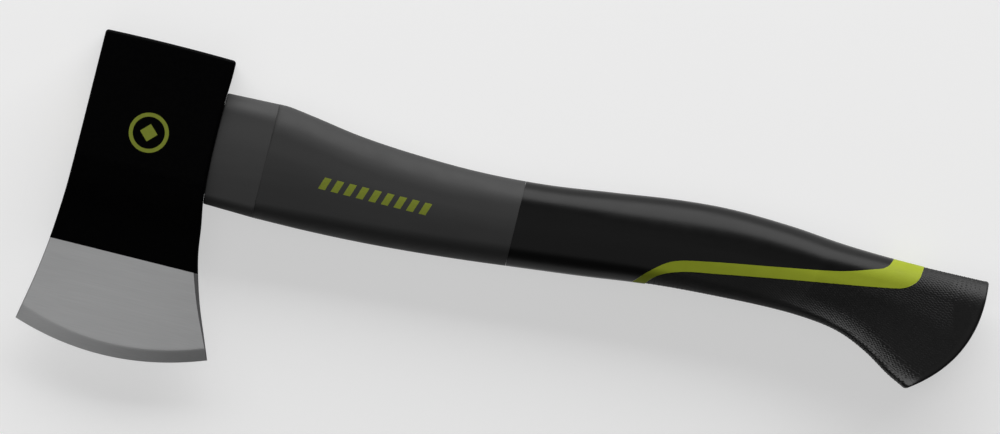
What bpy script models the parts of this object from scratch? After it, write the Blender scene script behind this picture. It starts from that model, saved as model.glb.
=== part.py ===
"""A hatchet lying on its side: forged head, fibreglass core, moulded jacket and a two-colour rubber grip.

Frame, in metres: +X runs along the handle to the butt, +Y to the poll and +Z up through the thickness.
The origin is on the surface that the hatchet rests on, under the middle of the head's eye.
"""

import math

import bmesh
import bpy
from mathutils import Matrix, Vector

# Clearance between two pieces that touch.
GAP = 0.0003

# Head: measured from the middle of the eye, poll up and edge down.
HEAD_THICKNESS = 0.0260
HEAD_HALF_LENGTH = 0.0251
POLL_HEIGHT = 0.0347
BLADE_DEPTH = 0.0858
TOE_DEPTH = 0.0800
HEEL_DEPTH = 0.0783
EDGE_HALF_THICKNESS = 0.00015
BEVEL_WIDTH = 0.0043
BEVEL_HALF_THICKNESS = 0.0013
PAINT_DEPTH = 0.0474
PAINT_HALF_THICKNESS = 0.0056
CHEEK_DEPTH = 0.0140
POLL_CHAMFER = 0.0012
HEAD_EDGE_RADIUS = 0.0012
TOE_RADIUS = 0.0007
HEEL_RADIUS = 0.0024
POLL_FLARE = 0.0006
TOE_REACH = 0.0070
HEEL_REACH = 0.0172

# Eye: a flat oval through the head along X, flared where the epoxy wedges it.
EYE_HEIGHT = 0.0380
CHEEK_WALL = 0.0040
EYE_FLARE = 0.0016
EYE_FLARE_LENGTH = 0.0140
EPOXY_WALL = 0.0011
EPOXY_SINK = 0.0006
TONGUE_SINK = 0.0020
TONGUE_WALL = 0.0020
DAM_WIDTH = 0.0022
DAM_THICKNESS = 0.0015

# Handle: its stations are shares of the way from the collar's crease to the butt.
COLLAR_LENGTH = 0.0203
COLLAR_LIP = 0.0034
COLLAR_TAPER = 0.0006
HANDLE_LENGTH = 0.2972
BUTT_SLANT = 0.0212
BUTT_BULGE = 0.0080
BUTT_RIM = 0.0026
COLLAR_INSET = 0.0010
SHAFT_INSET = 0.0024
GRIP_INSET = 0.0008
BUTT_INSET = 0.0000

# Core: a straight flat bar, tilted to stay inside the curved handle, as long as its wall allows.
CORE_HEIGHT = 0.0180
CORE_WALL = 0.0010
CORE_DROP = 0.0006
CORE_TILT = math.radians(1.4)

# Grip: moulded over the jacket's tang.
GRIP_LENGTH = 0.1792
GRIP_WALL = 0.0025
TANG_STOP = 0.0240

AROUND_CORNER = 5
ALONG_SIDE = 5
ACROSS_BLADE = 12
SHAFT_RINGS = 14
GRIP_RINGS = 34

MIDDLE = HEAD_THICKNESS / 2
CREASE = HEAD_HALF_LENGTH + COLLAR_LENGTH
BUTT = HEAD_HALF_LENGTH + HANDLE_LENGTH
GRIP_START = BUTT - GRIP_LENGTH
COLLAR_HALF = EYE_HEIGHT / 2 + COLLAR_LIP
TONGUE_MARGIN = EPOXY_WALL + 2 * GAP
EDGE_SAG = BLADE_DEPTH - (TOE_DEPTH + HEEL_DEPTH) / 2

# Heel side of the head, from poll to heel: (share of the way down, distance beyond the straight side).
HEEL_SIDE = (
    (0.00, POLL_FLARE),
    (0.06, POLL_FLARE),
    (0.14, 0.0002),
    (0.27, 0.0000),
    (0.39, 0.0003),
    (0.48, 0.0011),
    (0.57, 0.0028),
    (0.66, 0.0042),
    (0.74, 0.0064),
    (0.83, 0.0096),
    (0.92, 0.0136),
    (1.00, HEEL_REACH),
)
TOE_SIDE = (
    (0.00, 0.0000),
    (0.50, 0.0002),
    (0.62, 0.0008),
    (0.74, 0.0020),
    (0.85, 0.0038),
    (1.00, TOE_REACH),
)
CHEEK = (
    (CHEEK_DEPTH, HEAD_THICKNESS / 2),
    (CHEEK_DEPTH + 0.28 * (PAINT_DEPTH - CHEEK_DEPTH), 0.86 * HEAD_THICKNESS / 2),
    (CHEEK_DEPTH + 0.62 * (PAINT_DEPTH - CHEEK_DEPTH), 0.62 * HEAD_THICKNESS / 2),
    (PAINT_DEPTH, PAINT_HALF_THICKNESS),
)

# Back and belly of the handle: (share, height above the handle's axis).
BACK = (
    (0.00, COLLAR_HALF),
    (0.014, COLLAR_HALF),
    (0.05, 0.0210),
    (0.12, 0.0180),
    (0.20, 0.0163),
    (0.29, 0.0158),
    (0.38, 0.0172),
    (0.47, 0.0204),
    (0.56, 0.0237),
    (0.635, 0.0251),
    (0.72, 0.0244),
    (0.80, 0.0225),
    (0.89, 0.0217),
    (1.00, 0.0221),
)
BELLY = (
    (0.00, -COLLAR_HALF + 0.0007),
    (0.08, -0.0216),
    (0.16, -0.0209),
    (0.24, -0.0196),
    (0.32, -0.0178),
    (0.39, -0.0159),
    (0.49, -0.0131),
    (0.60, -0.0097),
    (0.70, -0.0081),
    (0.79, -0.0075),
    (0.85, -0.0084),
    (0.89, -0.0105),
    (0.93, -0.0150),
    (0.97, -0.0212),
    (1.00, -0.0249),
)
INSETS = (
    (0.00, COLLAR_INSET),
    (0.10, SHAFT_INSET),
    (0.33, SHAFT_INSET),
    (0.56, GRIP_INSET),
    (0.82, GRIP_INSET),
    (1.00, BUTT_INSET),
)
BACK_RADII = ((0.00, 0.0058), (0.10, 0.0080), (1.00, 0.0088))
BELLY_RADII = ((0.00, 0.0036), (0.12, 0.0066), (0.35, 0.0078), (1.00, 0.0080))

# Both edges of the accent loop: (share of the grip's length, height above the handle's axis).
ACCENT_UPPER = (
    (0.240, -0.0165),
    (0.265, -0.0112),
    (0.300, -0.0046),
    (0.340, 0.0006),
    (0.410, 0.0037),
    (0.560, 0.0086),
    (0.690, 0.0130),
    (0.760, 0.0165),
    (0.782, 0.0182),
    (0.793, 0.0218),
    (0.797, 0.0290),
)
ACCENT_LOWER = (
    (0.277, -0.0165),
    (0.295, -0.0100),
    (0.320, -0.0056),
    (0.365, -0.0023),
    (0.430, 0.0004),
    (0.610, 0.0054),
    (0.740, 0.0090),
    (0.810, 0.0115),
    (0.852, 0.0165),
    (0.865, 0.0290),
)


def clear_scene():
    for item in list(bpy.data.objects):
        bpy.data.objects.remove(item)


def new_collection(name):
    collection = bpy.data.collections.new(name)
    bpy.context.scene.collection.children.link(collection)
    return collection


def new_material(name, colour, roughness, metallic=0.0):
    material = bpy.data.materials.new(name)
    material.use_nodes = True
    shader = material.node_tree.nodes["Principled BSDF"]
    shader.inputs["Base Color"].default_value = (*colour, 1.0)
    shader.inputs["Roughness"].default_value = roughness
    shader.inputs["Metallic"].default_value = metallic
    material.diffuse_color = (*colour, 1.0)
    return material


def smooth(stations, at):
    """The height at one place of a smooth curve through the stations, level with its neighbours at each."""
    places = [station[0] for station in stations]
    heights = [station[1] for station in stations]
    last = len(places) - 1
    slopes = []
    for i in range(last + 1):
        before = max(i - 1, 0)
        after = min(i + 1, last)
        slopes.append((heights[after] - heights[before]) / (places[after] - places[before]))
    at = min(max(at, places[0]), places[last])
    i = 0
    while i < last - 1 and at > places[i + 1]:
        i += 1
    span = places[i + 1] - places[i]
    t = (at - places[i]) / span
    rise = heights[i + 1] - heights[i]
    bend = (1 - t) * (slopes[i] * span - rise) - t * (slopes[i + 1] * span - rise)
    return heights[i] + t * rise + t * (1 - t) * bend


def ease(low, high, at):
    t = min(max((at - low) / (high - low), 0.0), 1.0)
    return t * t * (3 - 2 * t)


def rounded_section(half_height, half_width, plus_radius, minus_radius, flat_steps=1):
    """Points (v, z) round a rectangle; its corners at +v and at -v have radii of their own."""
    most = 0.98 * min(half_height, half_width)
    corners = ((1, 1, plus_radius), (-1, 1, minus_radius), (-1, -1, minus_radius), (1, -1, plus_radius))
    points = []
    for turn, (v_side, z_side, radius) in enumerate(corners):
        radius = min(radius, most)
        v_middle = v_side * (half_height - radius)
        z_middle = z_side * (half_width - radius)
        for step in range(AROUND_CORNER + 1):
            angle = math.radians(90) * (turn + step / AROUND_CORNER)
            points.append((v_middle + radius * math.cos(angle), z_middle + radius * math.sin(angle)))
        if turn in (0, 2):
            start = points[-1]
            end_v = -v_side * (half_height - min(corners[turn + 1][2], most))
            for step in range(1, flat_steps):
                points.append((start[0] + (end_v - start[0]) * step / flat_steps, start[1]))
    return points


def add_cap(shape, row):
    """Rungs across an end, from each point to the one opposite it, which keep the end's bulge."""
    last = len(row) - 1
    for i in range(len(row) // 2 - 1):
        shape.faces.new((row[i], row[i + 1], row[last - i - 1], row[last - i]))


def loft(name, rings, material, collection, is_loop=False):
    """A skin over rings of points, closed by a cap at each end or, for a loop, back to the first ring."""
    shape = bmesh.new()
    rows = [[shape.verts.new(point) for point in ring] for ring in rings]
    pairs = list(zip(rows, rows[1:]))
    if is_loop:
        pairs.append((rows[-1], rows[0]))
    else:
        add_cap(shape, rows[0])
        add_cap(shape, rows[-1])
    for one, other in pairs:
        for i in range(len(one)):
            j = (i + 1) % len(one)
            shape.faces.new((one[i], one[j], other[j], other[i]))
    bmesh.ops.recalc_face_normals(shape, faces=shape.faces)
    mesh = bpy.data.meshes.new(name)
    shape.to_mesh(mesh)
    shape.free()
    mesh.shade_smooth()
    mesh.set_sharp_from_angle(angle=math.radians(35))
    if material:
        mesh.materials.append(material)
    item = bpy.data.objects.new(name, mesh)
    collection.objects.link(item)
    return item


def plate(name, outline, half_depth, material, collection, place=None):
    """A flat outline with straight sides, as a mesh whose caps are joined to its sides."""
    curve = bpy.data.curves.new(name, "CURVE")
    curve.dimensions = "2D"
    curve.fill_mode = "BOTH"
    curve.extrude = half_depth
    spline = curve.splines.new("POLY")
    spline.points.add(len(outline) - 1)
    for point, (x, y) in zip(spline.points, outline):
        point.co = (x, y, 0.0, 1.0)
    spline.use_cyclic_u = True
    source = bpy.data.objects.new(name + "_outline", curve)
    collection.objects.link(source)
    source.matrix_world = place or Matrix.Identity(4)
    bpy.context.view_layer.update()
    evaluated = source.evaluated_get(bpy.context.evaluated_depsgraph_get())
    mesh = bpy.data.meshes.new_from_object(evaluated)
    mesh.name = name
    shape = bmesh.new()
    shape.from_mesh(mesh)
    bmesh.ops.remove_doubles(shape, verts=shape.verts, dist=1e-6)
    bmesh.ops.recalc_face_normals(shape, faces=shape.faces)
    shape.to_mesh(mesh)
    shape.free()
    mesh.shade_smooth()
    mesh.set_sharp_from_angle(angle=math.radians(35))
    if material:
        mesh.materials.append(material)
    item = bpy.data.objects.new(name, mesh)
    item.matrix_world = source.matrix_world
    collection.objects.link(item)
    bpy.data.objects.remove(source)
    return item


def combine(item, operation, tool):
    modifier = item.modifiers.new(tool.name, "BOOLEAN")
    modifier.operation = operation
    modifier.solver = "EXACT"
    modifier.object = tool


def as_cutter(item):
    item.hide_render = True
    item.display_type = "WIRE"
    return item


# Head.


def heel_x(y):
    return HEAD_HALF_LENGTH + smooth(HEEL_SIDE, (POLL_HEIGHT - y) / (POLL_HEIGHT + HEEL_DEPTH))


def toe_x(y):
    return -HEAD_HALF_LENGTH - smooth(TOE_SIDE, (POLL_HEIGHT - y) / (POLL_HEIGHT + TOE_DEPTH))


def head_ring(toe_y, heel_y, sag, half_thickness, toe_radius, heel_radius, inset=0.0):
    """A section across the head from its toe side to its heel side, whose middle hangs sag lower."""
    toe = toe_x(toe_y) + inset
    heel = heel_x(heel_y) - inset
    middle = (toe + heel) / 2
    half = (heel - toe) / 2
    ring = []
    for v, z in rounded_section(half, half_thickness - inset, heel_radius, toe_radius, ACROSS_BLADE):
        across = v / half
        y = (toe_y + heel_y) / 2 + across * (heel_y - toe_y) / 2 - sag * (1 - across**2)
        ring.append((middle + v, y, MIDDLE + z))
    return ring


def straight_ring(y, half_thickness, toe_radius, heel_radius, inset=0.0):
    return head_ring(y, y, 0.0, half_thickness, toe_radius, heel_radius, inset)


def blade_ring(share, half_thickness):
    """A section between the straight paint line, at share 0, and the curved cutting edge, at share 1."""
    toe_y = -PAINT_DEPTH - share * (TOE_DEPTH - PAINT_DEPTH)
    heel_y = -PAINT_DEPTH - share * (HEEL_DEPTH - PAINT_DEPTH)
    return head_ring(toe_y, heel_y, share * EDGE_SAG, half_thickness, TOE_RADIUS, HEEL_RADIUS)


def head_rings():
    rings = []
    for turn in (0, 45, 90):
        drop = POLL_CHAMFER * (1 - math.sin(math.radians(turn)))
        rise = POLL_CHAMFER * (1 - math.cos(math.radians(turn)))
        radius = HEAD_EDGE_RADIUS
        rings.append(straight_ring(POLL_HEIGHT - rise, MIDDLE, radius, radius, drop))
    for y in (0.80 * POLL_HEIGHT, 0.55 * POLL_HEIGHT, 0.20 * POLL_HEIGHT, -0.25 * CHEEK_DEPTH):
        rings.append(straight_ring(y, MIDDLE, HEAD_EDGE_RADIUS, HEAD_EDGE_RADIUS))
    for step in range(8):
        share = step / 7
        depth = CHEEK_DEPTH + share * (PAINT_DEPTH - CHEEK_DEPTH)
        toe_radius = HEAD_EDGE_RADIUS + share * (TOE_RADIUS - HEAD_EDGE_RADIUS)
        heel_radius = HEAD_EDGE_RADIUS + share * (HEEL_RADIUS - HEAD_EDGE_RADIUS)
        rings.append(straight_ring(-depth, smooth(CHEEK, depth), toe_radius, heel_radius))
    bevel_share = 1 - BEVEL_WIDTH / (BLADE_DEPTH - PAINT_DEPTH)
    for step in (1, 2, 3):
        half = PAINT_HALF_THICKNESS + (BEVEL_HALF_THICKNESS - PAINT_HALF_THICKNESS) * step / 3
        rings.append(blade_ring(bevel_share * step / 3, half))
    rings.append(blade_ring(1.0, EDGE_HALF_THICKNESS))
    return rings


# Eye and everything in it. Each section is the eye's own oval, smaller by a margin.


def eye_oval(margin):
    half_width = HEAD_THICKNESS / 2 - CHEEK_WALL - margin
    half_height = EYE_HEIGHT / 2 - margin
    return rounded_section(half_height, half_width, half_width, half_width, ALONG_SIDE)


def flat_ring(points, x):
    return [(x, v, MIDDLE + z) for v, z in points]


def seated_ring(points, depth):
    """A section whose points follow the head's underside, at a depth beyond it along +X."""
    return [(heel_x(v) + depth, v, MIDDLE + z) for v, z in points]


def eye_flare(x):
    return EYE_FLARE * max(0.0, (EYE_FLARE_LENGTH - HEAD_HALF_LENGTH - x) / EYE_FLARE_LENGTH)


def eye_cutter(collection):
    start = -HEAD_HALF_LENGTH - 2 * EYE_FLARE
    flare_end = EYE_FLARE_LENGTH - HEAD_HALF_LENGTH
    rings = [
        flat_ring(eye_oval(-eye_flare(start)), start),
        flat_ring(eye_oval(0.0), flare_end),
        flat_ring(eye_oval(0.0), HEAD_HALF_LENGTH + 2 * EYE_FLARE),
    ]
    return as_cutter(loft("eye_cutter", rings, None, collection))


def epoxy_rings():
    start = EPOXY_SINK - HEAD_HALF_LENGTH
    flare_end = EYE_FLARE_LENGTH - HEAD_HALF_LENGTH
    inner = eye_oval(GAP + EPOXY_WALL)
    return [
        flat_ring(eye_oval(GAP - eye_flare(start)), start),
        flat_ring(eye_oval(GAP), flare_end),
        seated_ring(eye_oval(GAP), 0.0),
        seated_ring(inner, 0.0),
        flat_ring(inner, start),
    ]


def dam_rings():
    inner = eye_oval(TONGUE_MARGIN - GAP)
    outer = eye_oval(TONGUE_MARGIN - GAP - DAM_WIDTH)
    return [
        seated_ring(outer, GAP),
        seated_ring(outer, GAP + DAM_THICKNESS),
        seated_ring(inner, GAP + DAM_THICKNESS),
        seated_ring(inner, GAP),
    ]


# Handle.


def share_at(x):
    return (x - CREASE) / (BUTT - CREASE)


def handle_section(share, inset=0.0, advance=0.0):
    """A section of the handle, smaller by an inset; towards the butt it leans and bulges with it."""
    back_x = CREASE + share * (BUTT - CREASE)
    belly_x = back_x - BUTT_SLANT * ease(0.55, 1.0, share)
    belly_share = (belly_x - CREASE) / (BUTT - BUTT_SLANT - CREASE)
    back = Vector((back_x, smooth(BACK, share)))
    belly = Vector((belly_x, smooth(BELLY, belly_share)))
    middle = (back + belly) / 2
    up = (back - belly).normalized()
    along = Vector((up.y, -up.x))
    half = (back - belly).length / 2
    half_width = HEAD_THICKNESS / 2 - smooth(INSETS, share)
    bulge = BUTT_BULGE * ease(share_at(BUTT - TANG_STOP), 1.0, share)
    section = rounded_section(
        half - inset,
        half_width - inset,
        smooth(BACK_RADII, share) - inset,
        smooth(BELLY_RADII, share) - inset,
        ALONG_SIDE,
    )
    points = []
    for v, z in section:
        at = middle + v * up + (advance + bulge * (1 - (v / half) ** 2)) * along
        points.append((at.x, at.y, MIDDLE + z))
    return points


def shares(start, end, steps):
    return [start + (end - start) * step / steps for step in range(steps + 1)]


def tang_shares():
    return shares(share_at(GRIP_START), share_at(BUTT - TANG_STOP), GRIP_RINGS)


def jacket_rings():
    tongue = eye_oval(TONGUE_MARGIN)
    recess = eye_oval(TONGUE_MARGIN - 2 * GAP - DAM_WIDTH)
    recess_depth = DAM_THICKNESS + 2 * GAP
    collar = [(y, z - MIDDLE) for _, y, z in handle_section(0.0, COLLAR_TAPER)]
    rings = [
        flat_ring(tongue, TONGUE_SINK - HEAD_HALF_LENGTH),
        seated_ring(tongue, recess_depth),
        seated_ring(recess, recess_depth),
        seated_ring(recess, GAP),
        seated_ring(collar, GAP),
    ]
    rings += [handle_section(share) for share in shares(0.0, share_at(GRIP_START), SHAFT_RINGS)]
    rings += [handle_section(share, GRIP_WALL) for share in tang_shares()]
    return rings


def grip_rings():
    """The grip's outer skin: its flat front face, its length, a rounded rim and a bulging butt face."""
    rings = [handle_section(share) for share in shares(share_at(GRIP_START + GAP), 1.0, GRIP_RINGS)]
    rings.pop()
    for turn in (0, 22, 45, 67, 90):
        inset = BUTT_RIM * (1 - math.cos(math.radians(turn)))
        rim_start = BUTT_RIM * (1 - math.sin(math.radians(turn)))
        rings.append(handle_section(share_at(BUTT - rim_start), inset))
    return rings


def grip_cavity(collection):
    """The tang's room inside the grip, open at the grip's front face."""
    places = tang_shares()
    start = [(x - GAP - BUTT_RIM, y, z) for x, y, z in handle_section(places[0], GRIP_WALL - GAP)]
    rings = [start] + [handle_section(share, GRIP_WALL - GAP) for share in places]
    rings.append(handle_section(places[-1], GRIP_WALL - GAP, GAP))
    return as_cutter(loft("grip_cavity", rings, None, collection))


def accent_edge(stations, margin, steps=40):
    """One edge of the accent loop, seen along Z, moved sideways by a margin towards the back."""
    points = []
    for place in shares(stations[0][0], stations[-1][0], steps):
        points.append(Vector((GRIP_START + place * GRIP_LENGTH, smooth(stations, place))))
    moved = []
    for i, point in enumerate(points):
        along = points[min(i + 1, steps)] - points[max(i - 1, 0)]
        moved.append(point + margin * Vector((-along.y, along.x)).normalized())
    return moved


def grip_regions(collection):
    """Three upright plates that share the grip out: its upper part, its accent loop and its lower part."""
    reach = 4 * HEAD_THICKNESS
    left = GRIP_START - reach
    right = BUTT + reach
    upper_edge = accent_edge(ACCENT_UPPER, GAP)
    lower_edge = accent_edge(ACCENT_LOWER, -GAP)
    accent_edges = accent_edge(ACCENT_UPPER, 0.0) + accent_edge(ACCENT_LOWER, 0.0)[::-1]
    upper_outline = [(left, -reach), (upper_edge[0].x, -reach)]
    upper_outline += [tuple(point) for point in upper_edge]
    upper_outline += [(upper_edge[-1].x, reach), (left, reach)]
    lower_outline = [(right, reach), (lower_edge[-1].x, reach)]
    lower_outline += [tuple(point) for point in lower_edge[::-1]]
    lower_outline += [(lower_edge[0].x, -reach), (right, -reach)]
    accent_outline = [tuple(point) for point in accent_edges]
    outlines = {"grip_upper": upper_outline, "grip_accent": accent_outline, "grip_lower": lower_outline}
    place = Matrix.Translation((0.0, 0.0, MIDDLE))
    regions = {}
    for name, outline in outlines.items():
        region = plate(name + "_region", outline, HEAD_THICKNESS, None, collection, place)
        regions[name] = as_cutter(region)
    return regions


# Core.


def core_end():
    """The last place along the curved tang that still leaves the straight core its wall."""
    end = GRIP_START
    reach = CORE_HEIGHT / 2 + CORE_WALL
    for share in tang_shares():
        places, heights, _ = zip(*handle_section(share, GRIP_WALL))
        middle = min(places) * math.tan(CORE_TILT) - CORE_DROP
        if middle + reach > max(heights) or middle - reach < min(heights):
            break
        end = min(places)
    return end


def core_bar(name, margin, material, collection):
    """The core's flat bar, or its bore when the margin is a clearance."""
    half_width = HEAD_THICKNESS / 2 - CHEEK_WALL - TONGUE_MARGIN - TONGUE_WALL - GAP + margin
    section = rounded_section(CORE_HEIGHT / 2 + margin, half_width, half_width, half_width)
    start = TONGUE_SINK - HEAD_HALF_LENGTH - margin * 20
    end = core_end() + margin
    turn = Matrix.Rotation(CORE_TILT, 4, "Z") @ Matrix.Rotation(math.radians(90), 4, "Y")
    place = Matrix.Translation((0.0, -CORE_DROP, MIDDLE)) @ turn
    along = Matrix.Translation((0.0, 0.0, (start + end) / 2))
    outline = [(z, v) for v, z in section]
    return plate(name, outline, (end - start) / 2, material, collection, place @ along)


def build():
    clear_scene()
    parts = new_collection("hatchet")
    cutters = new_collection("cutters")

    steel = new_material("forged_steel", (0.012, 0.012, 0.014), 0.42, 0.4)
    epoxy = new_material("epoxy", (0.12, 0.085, 0.03), 0.3)
    foam = new_material("dam_rubber", (0.01, 0.01, 0.01), 0.85)
    fibreglass = new_material("fibreglass", (0.55, 0.5, 0.32), 0.45)
    plastic = new_material("jacket_plastic", (0.055, 0.057, 0.056), 0.5)
    rubber = new_material("grip_rubber", (0.012, 0.012, 0.012), 0.62)
    lime = new_material("accent_rubber", (0.16, 0.2, 0.035), 0.55)

    head = loft("axe_head", head_rings(), steel, parts)
    combine(head, "DIFFERENCE", eye_cutter(cutters))
    loft("eye_epoxy", epoxy_rings(), epoxy, parts, is_loop=True)
    loft("epoxy_dam", dam_rings(), foam, parts, is_loop=True)

    core_bar("fibreglass_core", 0.0, fibreglass, parts)
    jacket = loft("shaft_jacket", jacket_rings(), plastic, parts)
    combine(jacket, "DIFFERENCE", as_cutter(core_bar("core_bore", GAP, None, cutters)))

    cavity = grip_cavity(cutters)
    colours = {"grip_upper": rubber, "grip_accent": lime, "grip_lower": rubber}
    for name, region in grip_regions(cutters).items():
        piece = loft(name, grip_rings(), colours[name], parts)
        combine(piece, "DIFFERENCE", cavity)
        combine(piece, "INTERSECT", region)


build()
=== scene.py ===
"""The hatchet's looks: fine surfaces, materials, floor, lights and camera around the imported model.

Frame, in metres: +X runs along the handle to the butt, +Y to the poll and +Z up from the floor.
"""

import math

import bmesh
import bpy
from mathutils import Matrix, Vector


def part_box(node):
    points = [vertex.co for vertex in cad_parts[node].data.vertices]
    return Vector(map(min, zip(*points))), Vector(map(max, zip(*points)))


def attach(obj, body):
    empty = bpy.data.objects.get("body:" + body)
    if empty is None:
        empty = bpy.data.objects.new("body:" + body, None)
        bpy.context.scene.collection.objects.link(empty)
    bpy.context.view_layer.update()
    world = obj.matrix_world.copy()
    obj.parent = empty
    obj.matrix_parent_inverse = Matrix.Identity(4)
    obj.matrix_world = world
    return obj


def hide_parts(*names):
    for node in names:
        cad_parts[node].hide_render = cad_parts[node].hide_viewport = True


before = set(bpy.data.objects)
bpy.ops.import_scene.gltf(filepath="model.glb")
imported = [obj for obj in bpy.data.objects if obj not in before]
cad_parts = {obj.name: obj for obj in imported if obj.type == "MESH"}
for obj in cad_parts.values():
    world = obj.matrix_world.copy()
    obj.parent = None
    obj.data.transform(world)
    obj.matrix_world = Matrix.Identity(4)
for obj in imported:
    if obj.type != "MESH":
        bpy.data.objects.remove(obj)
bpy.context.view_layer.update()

# Clearance of the frame's pieces, and the much finer line that shows where two of them meet.
GAP = 0.0003
SEAM = 0.00004
ACCENT_SEAM = 0.00001

# Head, as in the frame: measured from the middle of the eye, poll up and edge down.
HEAD_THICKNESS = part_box("axe_head")[1].z
POLL_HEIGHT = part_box("axe_head")[1].y
BLADE_DEPTH = -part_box("axe_head")[0].y
HEAD_HALF_LENGTH = 0.0251
TOE_DEPTH = 0.0800
HEEL_DEPTH = 0.0783
EDGE_HALF_THICKNESS = 0.00015
EDGE_CLEARANCE = 0.00003
BEVEL_AT_TOE = 0.0056
BEVEL_AT_HEEL = 0.0043
BEVEL_HALF_THICKNESS = 0.0017
PAINT_DEPTH = 0.0474
PAINT_HALF_THICKNESS = 0.0056
PAINT_FILM = 0.00008
CHEEK_DEPTH = 0.0140
POLL_CHAMFER = 0.0012
POLL_CROWN = 0.0004
POLL_CROWN_DEPTH = 0.0080
HEAD_EDGE_RADIUS = 0.0012
TOE_RADIUS = 0.0004
HEEL_RADIUS = 0.0018
FACET_AT_BEVEL = 0.0004
FACET_SLOPE = 0.45
POLL_FLARE = 0.0006
TOE_REACH = 0.0070
HEEL_REACH = 0.0172

# Eye and what fills it.
EYE_HEIGHT = 0.0380
CHEEK_WALL = 0.0040
EYE_FLARE = 0.0016
EYE_FLARE_LENGTH = 0.0140
EYE_CHAMFER = 0.0005
EPOXY_WALL = 0.0011
EPOXY_SINK = 0.0006
MENISCUS = 0.0005
TONGUE_SINK = 0.0020
TONGUE_WALL = 0.0020
DAM_WIDTH = 0.0022
DAM_THICKNESS = 0.0015

# Handle.
COLLAR_LENGTH = 0.0203
COLLAR_LIP = 0.0034
COLLAR_TAPER = 0.0006
COLLAR_STEP = 0.00008
COLLAR_EDGE = 0.0005
COLLAR_CORNERS = (0.0074, 0.0046)
HANDLE_LENGTH = 0.2972
BUTT_SLANT = 0.0212
BUTT_BULGE = 0.00797
BUTT_RIM = 0.0009
SLANT_START = 0.55
FLARE_START = 0.70
FLARE_END = 0.96
STEP_FADE = 0.2
COLLAR_INSET = 0.0010
SHAFT_INSET = 0.0024
GRIP_INSET = 0.0008
BUTT_INSET = 0.0000
PARTING_LINE = 0.00012
CORE_HEIGHT = 0.0180
CORE_DROP = 0.0006
CORE_TILT = math.radians(1.4)
CORE_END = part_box("fibreglass_core")[1].x
BORE_OVERSHOOT = 20

# Grip.
GRIP_LENGTH = 0.1792
GRIP_WALL = 0.0025
TANG_STOP = 0.0240
TEXTURE_START = 0.250
TEXTURE_ROW = 0.00095
TEXTURE_DEPTH = 0.00030
BUMPS_AROUND = 124
STEPS_ACROSS_BUMP = 3
RINGS_ACROSS_ROW = 2

# Prints: films of ink that replace the marks on the head and on the shaft.
INK = 0.00003
PRINT_SINK = 0.00010
RING_RADIUS = 0.0076
RING_WIDTH = 0.0015
DIAMOND_RADIUS = 0.0034
BARS_START = 0.0672
BAR_PITCH = 0.0049
BAR_WIDTH = 0.0027
BAR_COUNT = 9
BAR_SLANT = 0.0016
BARS_BOTTOM = -0.0050
BARS_TOP = -0.0003

MIDDLE = HEAD_THICKNESS / 2
CHEEK_HALF = MIDDLE - 2 * INK
CREASE = HEAD_HALF_LENGTH + COLLAR_LENGTH
BUTT = HEAD_HALF_LENGTH + HANDLE_LENGTH
GRIP_START = BUTT - GRIP_LENGTH
COLLAR_HALF = EYE_HEIGHT / 2 + COLLAR_LIP
TONGUE_MARGIN = EPOXY_WALL + 2 * GAP
EDGE_SAG = BLADE_DEPTH - (TOE_DEPTH + HEEL_DEPTH) / 2 - EDGE_CLEARANCE

HEEL_SIDE = (
    (0.00, POLL_FLARE),
    (0.06, POLL_FLARE),
    (0.14, 0.0002),
    (0.27, 0.0000),
    (0.39, 0.0003),
    (0.48, 0.0011),
    (0.57, 0.0028),
    (0.66, 0.0042),
    (0.74, 0.0064),
    (0.83, 0.0096),
    (0.92, 0.0136),
    (1.00, HEEL_REACH),
)
TOE_SIDE = (
    (0.00, 0.0000),
    (0.50, 0.0002),
    (0.62, 0.0008),
    (0.74, 0.0020),
    (0.85, 0.0038),
    (1.00, TOE_REACH),
)
CHEEK = (
    (CHEEK_DEPTH, CHEEK_HALF),
    (CHEEK_DEPTH + 0.28 * (PAINT_DEPTH - CHEEK_DEPTH), 0.86 * CHEEK_HALF),
    (CHEEK_DEPTH + 0.62 * (PAINT_DEPTH - CHEEK_DEPTH), 0.62 * CHEEK_HALF),
    (PAINT_DEPTH, PAINT_HALF_THICKNESS),
)
BACK = (
    (0.00, COLLAR_HALF),
    (0.014, COLLAR_HALF),
    (0.05, 0.0210),
    (0.12, 0.0180),
    (0.20, 0.0163),
    (0.29, 0.0158),
    (0.38, 0.0172),
    (0.47, 0.0204),
    (0.56, 0.0237),
    (0.635, 0.0251),
    (0.72, 0.0244),
    (0.80, 0.0225),
    (0.89, 0.0217),
    (1.00, 0.0221),
)
BELLY = (
    (0.00, -COLLAR_HALF + 0.0007),
    (0.08, -0.0216),
    (0.16, -0.0209),
    (0.24, -0.0196),
    (0.32, -0.0178),
    (0.39, -0.0159),
    (0.49, -0.0131),
    (0.60, -0.0097),
    (0.70, -0.0081),
    (0.79, -0.0075),
    (0.85, -0.0084),
    (0.89, -0.0105),
    (0.93, -0.0150),
    (0.97, -0.0212),
    (1.00, -0.0249),
)
INSETS = (
    (0.00, COLLAR_INSET),
    (0.10, SHAFT_INSET),
    (0.33, SHAFT_INSET),
    (0.56, GRIP_INSET),
    (0.82, GRIP_INSET),
    (1.00, BUTT_INSET),
)
BACK_CORNERS = (
    (0.00, 0.0120),
    (0.23, 0.0126),
    (0.30, 0.0108),
    (0.41, 0.0102),
    (0.56, 0.0145),
    (0.70, 0.0118),
    (0.81, 0.0108),
    (1.00, 0.0104),
)
BELLY_CORNERS = (
    (0.00, 0.0062),
    (0.12, 0.0080),
    (0.45, 0.0080),
    (0.60, 0.0062),
    (0.75, 0.0044),
    (0.88, 0.0028),
    (1.00, 0.0022),
)
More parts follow.
